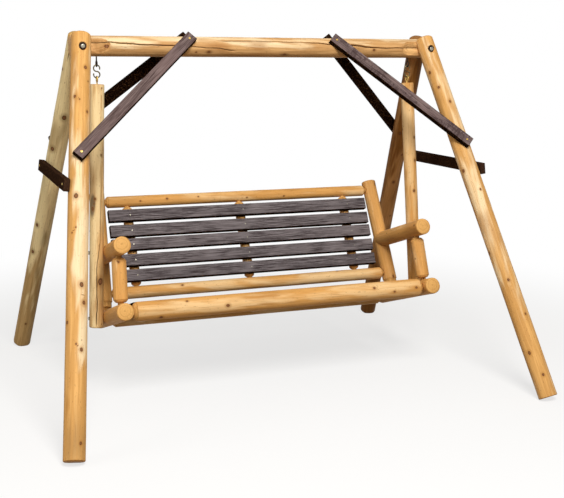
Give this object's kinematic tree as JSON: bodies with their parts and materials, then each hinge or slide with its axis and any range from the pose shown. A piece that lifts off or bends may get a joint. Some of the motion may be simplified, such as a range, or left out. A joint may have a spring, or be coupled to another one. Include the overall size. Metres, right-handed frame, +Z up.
{
  "type": "porch swing",
  "caption": "Log porch swing: a slatted two-seat bench with log arms, hung by hooks under the beam of a braced A-frame stand of peeled logs.",
  "frame": {"origin": "on the ground, at the middle of the four feet and straight below the beam", "axes": "+X along the beam, to the right as seen from in front; +Y to the rear; +Z up; the bench faces -Y"},
  "size_m": [2.6012, 2.108, 1.8962],
  "materials": {
    "peeled_log": "peeled softwood log with knots, clear satin finish",
    "pale_log": "paler peeled softwood log, clear satin finish",
    "dark_board": "dark brown stained board, matt",
    "black_steel": "black finish, worn satin",
    "zinc_steel": "yellow zinc plated"
  },
  "bodies": {
    "stand": {"top_beam": "peeled_log", "front_left_leg": "peeled_log", "front_left_brace": "dark_board", "rear_left_leg": "peeled_log", "rear_left_brace": "dark_board", "left_side_tie": "dark_board", "left_leg_bolt": "zinc_steel", "left_leg_washer": "black_steel", "left_leg_nut": "black_steel", "left_beam_eye": "black_steel", "front_right_leg": "peeled_log", "front_right_brace": "dark_board", "rear_right_leg": "peeled_log", "rear_right_brace": "dark_board", "right_side_tie": "dark_board", "right_leg_bolt": "zinc_steel", "right_leg_washer": "black_steel", "right_leg_nut": "black_steel", "right_beam_eye": "black_steel"},
    "left_hook": {"left_s_hook": "zinc_steel"},
    "right_hook": {"right_s_hook": "zinc_steel"},
    "bench": {"left_hanger": "pale_log", "left_side_rail": "peeled_log", "left_armrest": "peeled_log", "left_arm_post": "peeled_log", "left_back_post": "peeled_log", "left_hanger_eye": "zinc_steel", "left_arm_lag_bolt": "zinc_steel", "left_rail_lag_bolt": "zinc_steel", "right_hanger": "pale_log", "right_side_rail": "peeled_log", "right_armrest": "peeled_log", "right_arm_post": "peeled_log", "right_back_post": "peeled_log", "right_hanger_eye": "zinc_steel", "right_arm_lag_bolt": "zinc_steel", "right_rail_lag_bolt": "zinc_steel", "front_seat_log": "peeled_log", "rear_seat_log": "peeled_log", "top_back_rail": "peeled_log", "lower_back_rail": "peeled_log", "left_back_spindle": "peeled_log", "left_seat_bearer": "peeled_log", "middle_back_spindle": "peeled_log", "middle_seat_bearer": "peeled_log", "right_back_spindle": "peeled_log", "right_seat_bearer": "peeled_log", "back_slat_1": "dark_board", "back_slat_2": "dark_board", "back_slat_3": "dark_board", "back_slat_4": "dark_board", "back_slat_5": "dark_board", "seat_slat_1": "dark_board", "seat_slat_2": "dark_board", "seat_slat_3": "dark_board", "seat_slat_4": "dark_board", "seat_slat_5": "dark_board"}
  },
  "joints": [
    {"name": "left_hook_swing", "type": "hinge", "parent": "stand", "child": "left_hook", "pos_m": [-0.89561, 0, 1.72151], "axis": [1, 0, 0], "range_deg": [-22, 22]},
    {"name": "right_hook_swing", "type": "hinge", "parent": "stand", "child": "right_hook", "pos_m": [0.89561, 0, 1.72151], "axis": [1, 0, 0], "range_deg": [-22, 22]},
    {"name": "bench_rock", "type": "hinge", "parent": "left_hook", "child": "bench", "pos_m": [-0.89561, 0, 1.65751], "axis": [1, 0, 0], "range_deg": [-8, 8]}
  ],
  "couplings": [
    {"joint": "right_hook_swing", "follows": "left_hook_swing", "ratio": 1}
  ]
}
